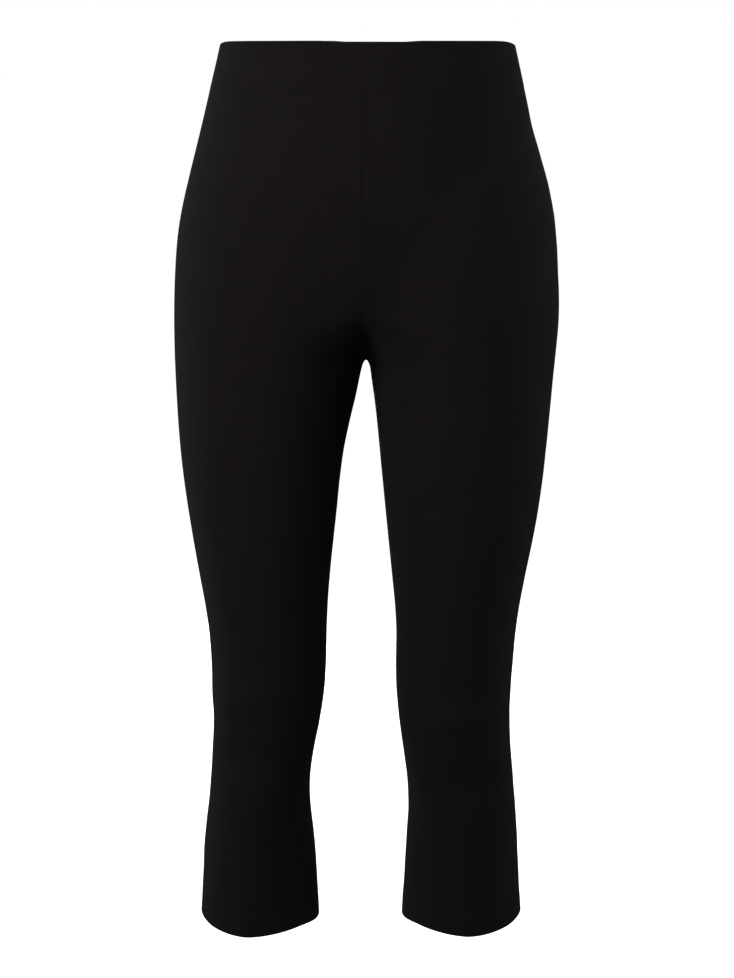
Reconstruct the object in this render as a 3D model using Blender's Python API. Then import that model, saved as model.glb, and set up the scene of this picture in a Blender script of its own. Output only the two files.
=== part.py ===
"""Slim pull-on capri pants of stretch jersey, filled out as if worn.

A hollow garment on a general figure, open at the waist and at both hems. Metres, +Z up. The front
faces -Y and the wearer's left is +X. The origin is the middle of the waist opening, halfway up the
waistband, where the wearer's waist holds the garment. Six sewn pieces, a hair apart at each seam.
"""

import functools
import math

import bmesh
import bpy
import numpy as np

MM = 0.001

# Cloth and seams
CLOTH = 1.2 * MM  # one layer of double-knit jersey
BAND_WALL = 2.6 * MM  # the waistband is folded double round its seam allowances
BAND_PROUD = 0.6 * MM  # how far the waistband stands out from the legs' cloth
HEM_WALL = 2.4 * MM  # the hem is turned up once
SEAM_GAP = 0.3 * MM  # between neighbouring pieces

# Heights above the middle of the waistband
BAND_TOP = 20 * MM
WAIST_SEAM = -20 * MM
CROTCH = -262 * MM
HEM_STITCH = -751 * MM
HEM_STEP = 1.5 * MM  # height in which the wall thickens at the hem's stitching
HEM = -777 * MM

# Shape rules
THIGH_SLOPE = 0.18  # how fast the thighs near each other towards the crotch
FRONT_ARCH = 12 * MM  # above the crotch they merge: radius of that merging, from in front
BACK_ARCH = 13 * MM  # the same at the back, where the seat needs a longer curve
FRONT_RISE = 75 * MM  # height in which the rows follow the crotch's curve
BACK_RISE = 95 * MM
RISE_SHARE = 0.6  # share of a quarter's columns, from the centre seam, where the rows do so
CLEFT = 30 * MM  # a centre dip this deep has sides that meet like two thighs
FRONT_DIP = 6 * MM  # how far the centre front lies behind the thighs, just above the crotch
BACK_DIP = 8 * MM
DIP_START = -60 * MM
MERGE_START = 90 * MM  # above the crotch: columns shift towards the inner thigh from here on down
CROTCH_ROUND = 4 * MM  # depth in which the legs part below the crotch
CROTCH_WIDTH = 10  # power that keeps that parting close to the inseam
HEM_TILT = math.radians(9.5)  # the lower leg leans back, and its hem with it
TILT_START = -540 * MM
TILT_FULL = -700 * MM
STANCE = 5 * MM  # the right hem stands this far forward, the left one this far back
HEM_SINK = 2.7 * MM  # the hem's fold lies this much lower at the inseam
HEM_LIFT = 1.0 * MM  # and this much higher at the side seam
SINK_SHARE = 0.2  # share of a quarter's columns, from either seam, where it does so
SIDE_DIP = 3.5 * MM  # the top edge sinks at the side seams
SIDE_DIP_POWER = 30
FULLNESS = 2.1  # of a level's round: 2 is an ellipse, more is squarer
HEM_SHIN_FULLNESS = 1.65  # in front, from the inseam to the foremost point
HEM_OUTER_FULLNESS = 1.7  # and on to the side seam

# Mesh
PANEL_COLUMNS = 12
BODY_LEVELS = 7  # levels from the waist seam to the seat
SEAT_LEVELS = 12  # on to the crotch
BELOW_CROTCH = (2.5, 7, 15, 27, 42)  # millimetres, where the legs part
LEG_LEVELS = 18  # on to the hem's stitching
BAND_COLUMNS = 26
BAND_ROWS = 3
OUTLINE_STEPS = 90
CENTRE_BUNCHING = 1.5  # power that brings an outline's points together at the centre seam
NUDGE = 0.2 * MM  # height over which the form's growth is measured
REACH = 0.5 * MM  # run over which an outline's direction is measured
SHARP = math.radians(50)  # edges that turn more than this are drawn sharp

# Finish: dyed jersey, rough all over
LEG_BLACK = (0.0092, 0.0077, 0.0095)
BAND_BLACK = (0.0096, 0.0080, 0.0099)
ROUGHNESS = 0.85

# Front view, in millimetres. Each row is one level of the garment. sway moves the level towards the
# wearer's left. The other columns run from the level's own centre line: out to the side seam, in to
# the inseam (in the body of the garment there is none, and the row at the crotch starts it).
OUTLINE_COLUMNS = ("height", "sway", "right_out", "left_out", "right_in", "left_in")
OUTLINE_ROWS = (
    (20, 0.0, 129.0, 130.0, 0, 0),
    (-20, 0.0, 138.0, 138.0, 0, 0),
    (-60, 0.0, 147.5, 147.0, 0, 0),
    (-100, 0.0, 158.0, 159.0, 0, 0),
    (-140, 0.0, 167.0, 167.0, 0, 0),
    (-180, 0.0, 171.0, 170.0, 0, 0),
    (-220, -0.5, 172.0, 171.5, 0, 0),
    (-262, -1.0, 171.0, 168.5, 2.6, 2.6),
    (-300, -2.5, 167.5, 166.5, 9.0, 10.0),
    (-340, -3.8, 163.0, 164.0, 16.8, 15.4),
    (-400, -4.4, 154.5, 157.0, 23.4, 22.0),
    (-460, -4.5, 144.5, 146.5, 29.0, 28.2),
    (-500, -4.6, 138.0, 140.5, 31.2, 31.2),
    (-540, -4.7, 135.0, 137.0, 32.0, 31.0),
    (-580, -5.0, 133.0, 135.0, 35.4, 33.8),
    (-620, -5.5, 134.5, 137.0, 42.4, 39.7),
    (-660, -5.8, 138.0, 140.5, 46.0, 43.7),
    (-700, -6.2, 143.0, 143.5, 43.0, 42.3),
    (-740, -6.4, 145.5, 145.5, 40.5, 39.9),
    (-780, -6.6, 148.0, 148.5, 38.4, 37.4),
)

# Side view and plan, in millimetres. front and back run from the origin's plane to the foremost
# and rearmost point. The crowns are those points' distances from the level's centre line.
PROFILE_COLUMNS = ("height", "front", "back", "front_crown", "back_crown")
PROFILE_ROWS = (
    (20, 91, 97, 6, 6),
    (-20, 94, 102, 14, 16),
    (-60, 99, 109, 22, 30),
    (-100, 103, 118, 33, 44),
    (-140, 105, 126, 46, 60),
    (-180, 105, 130, 60, 72),
    (-220, 103, 127, 72, 79),
    (-262, 100, 115, 80, 83),
    (-300, 98, 104, 86, 86),
    (-340, 96, 97, 89, 88),
    (-400, 92, 88, 89, 87),
    (-460, 86, 79, 87, 86),
    (-520, 78, 69, 85, 85),
    (-580, 69, 59, 85, 85),
    (-620, 62, 56, 89, 88),
    (-660, 54, 59, 94, 91),
    (-700, 46, 66, 98, 92),
    (-740, 39, 71, 100, 91),
    (-780, 33, 74, 100, 91),
)

RIGHT = -1  # the wearer's right, -X
LEFT = 1
FRONT = -1  # towards -Y
BACK = 1


def spline(knots, values):
    """Natural cubic spline through values at rising knots, as a function of one number."""
    step = np.diff(knots)
    slope = np.diff(values) / step
    last = len(knots) - 1
    matrix = np.eye(last + 1)
    right_side = np.zeros(last + 1)
    for i in range(1, last):
        matrix[i, i - 1 : i + 2] = (step[i - 1], 2 * (step[i - 1] + step[i]), step[i])
        right_side[i] = 6 * (slope[i] - slope[i - 1])
    bend = np.linalg.solve(matrix, right_side)

    def value(at):
        i = int(np.clip(np.searchsorted(knots, at) - 1, 0, last - 1))
        after = knots[i + 1] - at
        before = at - knots[i]
        straight = (values[i] * after + values[i + 1] * before) / step[i]
        curve = (
            bend[i] * (after**3 / step[i] - step[i] * after)
            + bend[i + 1] * (before**3 / step[i] - step[i] * before)
        ) / 6
        return straight + curve

    return value


def columns_of(names, rows):
    """One spline for each named column of a table in millimetres, over the height in metres."""
    table = np.array(sorted(rows), dtype=float) * MM
    return {name: spline(table[:, 0], table[:, i]) for i, name in enumerate(names) if i}


FORM = columns_of(OUTLINE_COLUMNS, OUTLINE_ROWS) | columns_of(PROFILE_COLUMNS, PROFILE_ROWS)
LEG_ROWS = tuple(row for row in OUTLINE_ROWS if row[-1])
INSEAMS = columns_of(OUTLINE_COLUMNS, LEG_ROWS)


def smooth(share):
    """Eases from 0 to 1."""
    share = min(max(share, 0.0), 1.0)
    return share * share * (3 - 2 * share)


def mid_depth(height):
    """Y of the side seams and inseams: halfway between foremost and rearmost point."""
    return (FORM["back"](height) - FORM["front"](height)) / 2


def inner_thigh(side, face, height):
    """A leg's innermost distance from the centre line, and how much of it the round parting takes.

    Above the crotch the distance turns negative: there the two thighs merge at the centre line.
    """
    inseam = INSEAMS["right_in" if side == RIGHT else "left_in"]
    start = inseam(CROTCH)
    if height < CROTCH:
        parted = math.sqrt(1 - math.exp((height - CROTCH) / CROTCH_ROUND))
        return inseam(height), start * (1 - parted)
    above = height - CROTCH
    arch = FRONT_ARCH if face == FRONT else BACK_ARCH
    return start - THIGH_SLOPE * above - above**2 / (2 * arch), start


def power_at(height, hem_fullness):
    """Power of sine and cosine that draws a level's round, which changes towards the hem."""
    change = smooth((TILT_START - height) / (TILT_START - HEM))
    return 2 / (FULLNESS + (hem_fullness - FULLNESS) * change)


def quarter_round(width, depth):
    """Length of a quarter of an ellipse, nearly."""
    return math.pi / 2 * math.sqrt((width**2 + depth**2) / 2)


@functools.lru_cache(maxsize=None)
def half_section(side, face, height):
    """A quarter's level outline, from its centre seam or inseam to the side seam, as a section."""
    name = "front" if face == FRONT else "back"
    middle = mid_depth(height)
    crown_y = face * FORM[name](height)
    crown_x = FORM[name + "_crown"](height)
    outer = FORM["right_out" if side == RIGHT else "left_out"](height)
    inner, parting = inner_thigh(side, face, height)
    inside_power = power_at(height, HEM_SHIN_FULLNESS if face == FRONT else FULLNESS)
    outside_power = power_at(height, HEM_OUTER_FULLNESS if face == FRONT else FULLNESS)

    def thigh(turn):
        """The thigh's own round from its innermost point to its crown, a right angle of turn."""
        closing = np.clip(np.cos(turn), 0, 1)
        parted = parting * closing**CROTCH_WIDTH
        x = crown_x - (crown_x - inner) * closing**inside_power - parted
        return x, middle + (crown_y - middle) * np.sin(turn) ** inside_power

    turn = (math.pi / 2) * np.linspace(0, 1, OUTLINE_STEPS) ** 2
    meets = np.interp(0.0, thigh(turn)[0], turn)
    share = np.linspace(0, 1, OUTLINE_STEPS) ** CENTRE_BUNCHING
    round_x, round_y = thigh(meets + (math.pi / 2 - meets) * share)
    round_share = smooth(abs(crown_y - round_y[0]) / CLEFT)
    dip = (FRONT_DIP if face == FRONT else BACK_DIP) * smooth(
        (DIP_START - height) / (DIP_START - CROTCH)
    )
    valley_x = crown_x * share
    valley_y = crown_y - face * dip * (1 + np.cos(math.pi * share)) / 2
    inside_x = round_share * round_x + (1 - round_share) * valley_x
    inside_y = round_share * round_y + (1 - round_share) * valley_y

    turn = np.linspace(0, math.pi / 2, OUTLINE_STEPS)
    outside_x = crown_x + (outer - crown_x) * np.sin(turn) ** outside_power
    outside_y = middle + (crown_y - middle) * np.clip(np.cos(turn), 0, 1) ** outside_power
    across = np.concatenate([inside_x, outside_x[1:]])
    along = np.concatenate([inside_y, outside_y[1:]])
    outline = np.column_stack([side * across + FORM["sway"](height), along])

    depth = abs(crown_y - middle)
    merged = smooth((CROTCH + MERGE_START - height) / (2 * MERGE_START))
    to_inseam = quarter_round(crown_x - max(inner, 0.0), depth)
    inside = crown_x + (to_inseam - crown_x) * merged
    return outline, inside / (inside + quarter_round(outer - crown_x, depth))


def point_on(section, inset, share):
    """Point and direction at a share of a quarter's columns, both ends inset by half a seam gap.

    A section is an outline, and the share of its columns that lies inside its crown.
    """
    outline, crown_share = section
    run = np.concatenate([[0.0], np.cumsum(np.hypot(*np.diff(outline, axis=0).T))])
    shares = (0.0, crown_share, 1.0)
    place = np.interp(share, shares, (inset[0], run[OUTLINE_STEPS - 1], run[-1] - inset[1]))

    def at(distance):
        return np.array([np.interp(distance, run, outline[:, axis]) for axis in (0, 1)])

    direction = at(min(place + REACH, run[-1])) - at(max(place - REACH, 0.0))
    return at(place), direction / np.hypot(*direction)


def row_height(face, level, share):
    """Rows close up towards the crotch, so that they follow the centre seam's curve under it."""
    rise = FRONT_RISE if face == FRONT else BACK_RISE
    climb = (level - CROTCH) / rise
    if not 0 < climb < 1:
        return level
    at_seam = CROTCH + rise * (1 - math.cos(climb * math.pi / 2))
    return level - (level - at_seam) * max(1 - share / RISE_SHARE, 0.0) ** 2


def cloth_point(side, face, level, share, inset, depth):
    """Point in a quarter's cloth: depth is measured inwards from the form's surface."""
    height = row_height(face, level, share)
    point, direction = point_on(half_section(side, face, height), inset, share)
    outward = np.array([direction[1], -direction[0]]) * -side * face
    top = point_on(half_section(side, face, height + NUDGE), inset, share)[0]
    bottom = point_on(half_section(side, face, height - NUDGE), inset, share)[0]
    growth = float(np.dot(top - bottom, outward)) / (2 * NUDGE)
    normal = np.array([outward[0], outward[1], -growth])
    normal /= np.linalg.norm(normal)
    tilt = math.tan(HEM_TILT) * smooth((TILT_START - height) / (TILT_START - TILT_FULL))
    lift = tilt * (point[1] - mid_depth(height))
    sink = HEM_SINK * smooth(1 - share / SINK_SHARE)
    sink -= HEM_LIFT * smooth(1 - (1 - share) / SINK_SHARE)
    lift -= sink * smooth((TILT_FULL - height) / (TILT_FULL - HEM))
    stance = side * STANCE * smooth((CROTCH - height) / (CROTCH - HEM))
    return np.array([point[0], point[1] + stance, height + lift]) - normal * depth


def wall_at(height):
    """Thickness of a leg panel, which doubles below the hem's stitching."""
    turned = smooth((HEM_STITCH - height) / HEM_STEP)
    return CLOTH + (HEM_WALL - CLOTH) * turned


def panel_levels():
    """Levels of a leg panel's rows, from the waist seam to the hem, closer where the form turns."""
    body = np.linspace(WAIST_SEAM - SEAM_GAP / 2, CROTCH + BACK_RISE, BODY_LEVELS)
    seat = np.linspace(CROTCH + BACK_RISE, CROTCH, SEAT_LEVELS)
    parting = CROTCH - np.array(BELOW_CROTCH) * MM
    leg = np.linspace(parting[-1], HEM_STITCH + HEM_STEP, LEG_LEVELS)
    hem = np.array([HEM_STITCH - HEM_STEP, HEM])
    return np.concatenate([body, seat[1:], parting, leg[1:], hem])


def sheet_grid(columns, rows):
    """A flat grid whose vertices remember their column and row, and its two layers of memory."""
    mesh = bmesh.new()
    bmesh.ops.create_grid(mesh, x_segments=columns, y_segments=rows, size=1)
    column = mesh.verts.layers.float.new("column")
    row = mesh.verts.layers.float.new("row")
    for vert in mesh.verts:
        vert[column] = round((vert.co.x + 1) / 2 * columns)
        vert[row] = round((1 - vert.co.y) / 2 * rows)
    return mesh, column, row


def add_piece(name, mesh, column, row, place, material, collection):
    """Bends a flat grid into a cloth wall: place(column, row, inside) gives each vertex's point."""
    walls = bmesh.ops.extrude_face_region(mesh, geom=mesh.faces[:], use_keep_orig=True)
    inner = {item for item in walls["geom"] if isinstance(item, bmesh.types.BMVert)}
    for vert in mesh.verts:
        vert.co = place(vert[column], vert[row], vert in inner)
    bmesh.ops.recalc_face_normals(mesh, faces=mesh.faces[:])
    if mesh.calc_volume(signed=True) < 0:
        bmesh.ops.reverse_faces(mesh, faces=mesh.faces[:])
    data = bpy.data.meshes.new(name)
    mesh.to_mesh(data)
    mesh.free()
    data.shade_smooth()
    data.set_sharp_from_angle(angle=SHARP)
    data.materials.append(material)
    piece = bpy.data.objects.new(name, data)
    collection.objects.link(piece)
    return piece


def leg_panel(name, side, face, material, collection):
    """One leg's front or back, cut in one from the waist seam to the hem fold."""
    levels = panel_levels()
    inset = (SEAM_GAP / 2, SEAM_GAP / 2)

    def place(column, row, inside):
        level = levels[int(round(row))]
        depth = wall_at(level) if inside else 0.0
        return cloth_point(side, face, level, column / PANEL_COLUMNS, inset, depth)

    mesh, column, row = sheet_grid(PANEL_COLUMNS, len(levels) - 1)
    return add_piece(name, mesh, column, row, place, material, collection)


def waistband(name, face, material, collection):
    """Half of the waistband, from side seam to side seam, folded at the top."""
    bottom = WAIST_SEAM + SEAM_GAP / 2
    inset = (0.0, SEAM_GAP / 2)

    def place(column, row, inside):
        across = 2 * column / BAND_COLUMNS - 1
        side = RIGHT if across < 0 else LEFT
        level = BAND_TOP + (bottom - BAND_TOP) * row / BAND_ROWS
        depth = BAND_WALL - BAND_PROUD if inside else -BAND_PROUD
        point = cloth_point(side, face, level, abs(across), inset, depth)
        reach = abs(point[0]) / FORM["left_out"](level)
        near_top = (level - bottom) / (BAND_TOP - bottom)
        point[2] -= SIDE_DIP * near_top * min(reach, 1.0) ** SIDE_DIP_POWER
        return point

    mesh, column, row = sheet_grid(BAND_COLUMNS, BAND_ROWS)
    return add_piece(name, mesh, column, row, place, material, collection)


def jersey(name, colour):
    """Soft dyed jersey, with no metal in it."""
    material = bpy.data.materials.new(name)
    material.use_nodes = True
    shader = material.node_tree.nodes["Principled BSDF"]
    shader.inputs["Base Color"].default_value = (*colour, 1.0)
    shader.inputs["Roughness"].default_value = ROUGHNESS
    shader.inputs["Metallic"].default_value = 0.0
    material.diffuse_color = (*colour, 1.0)
    return material


def main():
    for item in list(bpy.data.objects):
        bpy.data.objects.remove(item, do_unlink=True)
    garment = bpy.data.collections.new("capri_pants")
    bpy.context.scene.collection.children.link(garment)

    leg_black = jersey("black_jersey", LEG_BLACK)
    band_black = jersey("black_jersey_band", BAND_BLACK)
    for side, side_name in ((RIGHT, "right"), (LEFT, "left")):
        leg_panel("front_" + side_name, side, FRONT, leg_black, garment)
        leg_panel("back_" + side_name, side, BACK, leg_black, garment)
    waistband("waistband_front", FRONT, band_black, garment)
    waistband("waistband_back", BACK, band_black, garment)


main()
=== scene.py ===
# %% [markdown]
# # Capri pants in black double-knit jersey
#
# The object is one garment: slim pull-on pants that end below the knee, worn or filled out, with
# nobody in them. This lesson makes its looks in Blender: six sewn pieces of cloth, the seams
# between them with their overlocked edges inside, the turned-up hems with their stitches, the
# folded waistband, and a small studio to see them in.
#
# Cloth this smooth could be draped by simulation. A worn, stretchy garment has few folds though,
# and its outline comes from its cut, so here every piece is a thin shell laid on a form that is
# worked out from measurements, and the folds are placed one by one.

import math

import bmesh
import bpy
import numpy as np
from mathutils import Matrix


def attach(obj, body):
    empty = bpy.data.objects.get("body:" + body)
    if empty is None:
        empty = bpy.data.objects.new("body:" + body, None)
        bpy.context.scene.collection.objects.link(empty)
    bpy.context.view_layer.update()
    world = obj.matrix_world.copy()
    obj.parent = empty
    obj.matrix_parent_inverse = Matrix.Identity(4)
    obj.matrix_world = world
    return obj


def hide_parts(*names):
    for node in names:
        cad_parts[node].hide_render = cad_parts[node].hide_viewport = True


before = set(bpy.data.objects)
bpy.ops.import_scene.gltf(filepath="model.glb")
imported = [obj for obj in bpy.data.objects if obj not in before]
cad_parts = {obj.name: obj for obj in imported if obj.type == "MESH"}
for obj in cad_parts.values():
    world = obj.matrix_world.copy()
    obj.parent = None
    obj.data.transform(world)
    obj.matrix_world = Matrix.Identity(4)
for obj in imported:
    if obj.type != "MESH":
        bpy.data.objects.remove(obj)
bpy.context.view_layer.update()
bpy.ops.object.select_all(action="DESELECT")
print("sewn pieces in the frame:", ", ".join(sorted(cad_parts)))

# %% [markdown]
# ## Heights and sides
#
# Heights are measured from the middle of the waistband, where the frame has its origin. All lengths
# are in metres, so a millimetre is named once and used everywhere. The two sides and the front and
# back are signs, so that one function can make a piece and the piece that mirrors it.

# %% Millimetres, heights and sides
MM = 0.001

BAND_TOP = 20.2 * MM
WAIST_SEAM = -20 * MM
CROTCH = -262 * MM
HEM = -777 * MM

RIGHT = -1  # the wearer's right, towards -X
LEFT = 1
FRONT = -1  # towards -Y
BACK = 1
SIDE_NAMES = {RIGHT: "right", LEFT: "left"}
FACE_NAMES = {FRONT: "front", BACK: "back"}
print(f"from the waist seam to the hem: {WAIST_SEAM - HEM:.3f} m")

# %% [markdown]
# ## The form under the cloth
#
# A worn leg is a tube whose outline changes with the height. Two short tables give it: how far the
# cloth reaches to either side, and how far to the front and back. A smooth curve through each
# column gives every height in between. They are the same measurements that the solid model has,
# so the cloth lies exactly where the frame says.

# %% The two tables of measurements, in millimetres
OUTLINE_COLUMNS = ("height", "sway", "right_out", "left_out", "right_in", "left_in")
OUTLINE_ROWS = (
    (20, 0.0, 129.0, 130.0, 0, 0),
    (-20, 0.0, 138.0, 138.0, 0, 0),
    (-60, 0.0, 147.5, 147.0, 0, 0),
    (-100, 0.0, 158.0, 159.0, 0, 0),
    (-140, 0.0, 167.0, 167.0, 0, 0),
    (-180, 0.0, 171.0, 170.0, 0, 0),
    (-220, -0.5, 172.0, 171.5, 0, 0),
    (-262, -1.0, 171.0, 168.5, 2.6, 2.6),
    (-300, -2.5, 167.5, 166.5, 9.0, 10.0),
    (-340, -3.8, 163.0, 164.0, 16.8, 15.4),
    (-400, -4.4, 154.5, 157.0, 23.4, 22.0),
    (-460, -4.5, 144.5, 146.5, 29.0, 28.2),
    (-500, -4.6, 138.0, 140.5, 31.2, 31.2),
    (-540, -4.7, 135.0, 137.0, 32.0, 31.0),
    (-580, -5.0, 133.0, 135.0, 35.4, 33.8),
    (-620, -5.5, 134.5, 137.0, 42.4, 39.7),
    (-660, -5.8, 138.0, 140.5, 46.0, 43.7),
    (-700, -6.2, 143.0, 143.5, 43.0, 42.3),
    (-740, -6.4, 145.5, 145.5, 40.5, 39.9),
    (-780, -6.6, 148.0, 148.5, 38.4, 37.4),
)
PROFILE_COLUMNS = ("height", "front", "back", "front_crown", "back_crown")
PROFILE_ROWS = (
    (20, 91, 97, 6, 6),
    (-20, 94, 102, 14, 16),
    (-60, 99, 109, 22, 30),
    (-100, 103, 118, 33, 44),
    (-140, 105, 126, 46, 60),
    (-180, 105, 130, 60, 72),
    (-220, 103, 127, 72, 79),
    (-262, 100, 115, 80, 83),
    (-300, 98, 104, 86, 86),
    (-340, 96, 97, 89, 88),
    (-400, 92, 88, 89, 87),
    (-460, 86, 79, 87, 86),
    (-520, 78, 69, 85, 85),
    (-580, 69, 59, 85, 85),
    (-620, 62, 56, 89, 88),
    (-660, 54, 59, 94, 91),
    (-700, 46, 66, 98, 92),
    (-740, 39, 71, 100, 91),
    (-780, 33, 74, 100, 91),
)
print(len(OUTLINE_ROWS), "heights in the outline,", len(PROFILE_ROWS), "in the profile")

# %% A smooth curve through each column
def spline(knots, values):
    """Natural cubic spline through values at rising knots, as a function of an array."""
    step = np.diff(knots)
    slope = np.diff(values) / step
    last = len(knots) - 1
    matrix = np.eye(last + 1)
    right_side = np.zeros(last + 1)
    for i in range(1, last):
        matrix[i, i - 1 : i + 2] = (step[i - 1], 2 * (step[i - 1] + step[i]), step[i])
        right_side[i] = 6 * (slope[i] - slope[i - 1])
    bend = np.linalg.solve(matrix, right_side)

    def value(at):
        i = np.clip(np.searchsorted(knots, at) - 1, 0, last - 1)
        after = knots[i + 1] - at
        before = at - knots[i]
        straight = (values[i] * after + values[i + 1] * before) / step[i]
        curve = (
            bend[i] * (after**3 / step[i] - step[i] * after)
            + bend[i + 1] * (before**3 / step[i] - step[i] * before)
        ) / 6
        return straight + curve

    return value


def columns_of(names, rows):
    """One spline for each named column of a table in millimetres, over the height in metres."""
    values = np.array(sorted(rows), dtype=float) * MM
    return {name: spline(values[:, 0], values[:, i]) for i, name in enumerate(names) if i}


FORM = columns_of(OUTLINE_COLUMNS, OUTLINE_ROWS) | columns_of(PROFILE_COLUMNS, PROFILE_ROWS)
INSEAMS = columns_of(OUTLINE_COLUMNS, [row for row in OUTLINE_ROWS if row[-1]])  # on the legs
HIPS = -200 * MM
print(f"hips {FORM['right_out'](HIPS) + FORM['left_out'](HIPS):.3f} m across")

# %% [markdown]
# ## One level of the form
#
# A quarter of the garment, from the centre seam (or the inseam, on a leg) to the side seam, is one
# curve at each height: an arc from the inside to the foremost point, its crown, and an arc on to
# the side. Towards the crotch the two thighs draw near each other, meet and part, which is what
# makes the curve of the crotch seam.

# %% Eases and measures of the form
def smooth(share):
    """Eases from 0 to 1."""
    share = np.clip(share, 0.0, 1.0)
    return share * share * (3 - 2 * share)


def mid_depth(height):
    """Y of the side seams and inseams."""
    return (FORM["back"](height) - FORM["front"](height)) / 2


def quarter_round(width, depth):
    """Length of a quarter of an ellipse, nearly."""
    return math.pi / 2 * math.sqrt((width**2 + depth**2) / 2)


print(f"the side seams end {mid_depth(HEM):.3f} m behind the middle of the waist")

# %% Where the thighs meet and part
THIGH_SLOPE = 0.18  # of the inner thigh just above the crotch
ARCH = {FRONT: 12 * MM, BACK: 13 * MM}  # radius of the curve in which the two sides then meet
CROTCH_ROUND = 4 * MM


def inner_thigh(side, face, height):
    """A leg's innermost distance from the centre line, and the part of it that parts the legs."""
    inseam = INSEAMS["right_in" if side == RIGHT else "left_in"]
    start = inseam(CROTCH)
    if height < CROTCH:
        parted = math.sqrt(1 - math.exp((height - CROTCH) / CROTCH_ROUND))
        return inseam(height), start * (1 - parted)
    above = height - CROTCH
    return start - THIGH_SLOPE * above - above**2 / (2 * ARCH[face]), start


KNEE = -560 * MM
gap = sum(inner_thigh(side, FRONT, KNEE)[0] for side in (RIGHT, LEFT))
print(f"the knees are {gap:.3f} m apart")

# %% The outline of one level
CLEFT = 30 * MM  # how far behind the crowns the thighs touch, once their inner sides are round
DIP = {FRONT: 6 * MM, BACK: 8 * MM}  # depth of the valley down the centre seam until then
DIP_START = -60 * MM
SPREAD = 90 * MM  # above and below the crotch, where columns move on to the inner thigh
PARTING_POWER = 10  # a high power keeps the parting of the legs close to the inseam
FULLNESS = 2.1  # power of the arcs: 2 is an ellipse, more is fuller
HEM_FULLNESS = {FRONT: (1.65, 1.7), BACK: (FULLNESS, FULLNESS)}  # inside and outside of the crown
HEM_SHAPE_START = -540 * MM  # where the arcs begin to change to the hem's
OUTLINE_STEPS = 90
MEETING_CROWDING = 2  # steps crowd towards the inside, where the outline bends most
ROUND_CROWDING = 1.5


def half_section(side, face, height):
    """A quarter's outline at one height, its running length, and its share inside the crown."""
    name = FACE_NAMES[face]
    middle = mid_depth(height)
    crown_y = face * FORM[name](height)
    crown_x = FORM[name + "_crown"](height)
    outer = FORM["right_out" if side == RIGHT else "left_out"](height)
    inner, parting = inner_thigh(side, face, height)
    change = smooth((HEM_SHAPE_START - height) / (HEM_SHAPE_START - HEM))
    powers = [2 / (FULLNESS + (hem - FULLNESS) * change) for hem in HEM_FULLNESS[face]]

    def thigh(turn):
        closing = np.clip(np.cos(turn), 0, 1)
        x = crown_x - (crown_x - inner) * closing ** powers[0] - parting * closing**PARTING_POWER
        return x, middle + (crown_y - middle) * np.sin(turn) ** powers[0]

    turn = (math.pi / 2) * np.linspace(0, 1, OUTLINE_STEPS) ** MEETING_CROWDING
    meets = np.interp(0.0, thigh(turn)[0], turn)
    share = np.linspace(0, 1, OUTLINE_STEPS) ** ROUND_CROWDING
    round_x, round_y = thigh(meets + (math.pi / 2 - meets) * share)
    round_share = smooth(abs(crown_y - round_y[0]) / CLEFT)
    dip = DIP[face] * smooth((DIP_START - height) / (DIP_START - CROTCH))
    valley_y = crown_y - face * dip * (1 + np.cos(math.pi * share)) / 2
    inside_x = round_share * round_x + (1 - round_share) * crown_x * share
    inside_y = round_share * round_y + (1 - round_share) * valley_y

    turn = np.linspace(0, math.pi / 2, OUTLINE_STEPS)
    outside_x = crown_x + (outer - crown_x) * np.sin(turn) ** powers[1]
    outside_y = middle + (crown_y - middle) * np.clip(np.cos(turn), 0, 1) ** powers[1]
    across = np.concatenate([inside_x, outside_x[1:]])
    along = np.concatenate([inside_y, outside_y[1:]])
    run = np.concatenate([[0.0], np.cumsum(np.hypot(np.diff(across), np.diff(along)))])

    depth = abs(crown_y - middle)
    spread = smooth((CROTCH + SPREAD - height) / (2 * SPREAD))
    inside = crown_x + (quarter_round(crown_x - max(inner, 0.0), depth) - crown_x) * spread
    crown_share = inside / (inside + quarter_round(outer - crown_x, depth))
    return side * across + FORM["sway"](height), along, run, crown_share


print(f"a front quarter of the hips has {half_section(LEFT, FRONT, HIPS)[2][-1]:.3f} m of cloth")

# %% [markdown]
# ## A grid of points on the form
#
# Each sewn piece is a grid that follows the cloth's own threads: columns run down the leg, rows
# run round it, and the rows bend round the crotch as the cut does. A column is told by its share
# of the way from the centre seam to the side seam, and by the margin that it keeps from both
# seams, so that a few columns can sit at fixed millimetres from an edge where the cloth turns in.
#
# Sections at many heights are computed once. Each point of the grid is then read between two of
# them, which is much quicker than working out a section for every point.

# %% Sections at many heights
TABLE_STEP = 1.5 * MM
TABLE_MARGIN = 4 * MM
FINE_STEP = 0.25 * MM  # round the crotch, where the outline changes most
FINE_REACH = 9 * MM
TABLE_HEIGHTS = np.unique(
    np.concatenate(
        [
            np.arange(HEM - TABLE_MARGIN, BAND_TOP + TABLE_MARGIN, TABLE_STEP),
            np.arange(CROTCH - FINE_REACH, CROTCH + FINE_REACH, FINE_STEP),
        ]
    ).round(6)
)
SECTIONS = {}


def sections_of(side, face):
    """All the sections of a quarter, computed at its first use."""
    if (side, face) not in SECTIONS:
        SECTIONS[side, face] = [half_section(side, face, height) for height in TABLE_HEIGHTS]
    return SECTIONS[side, face]


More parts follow.
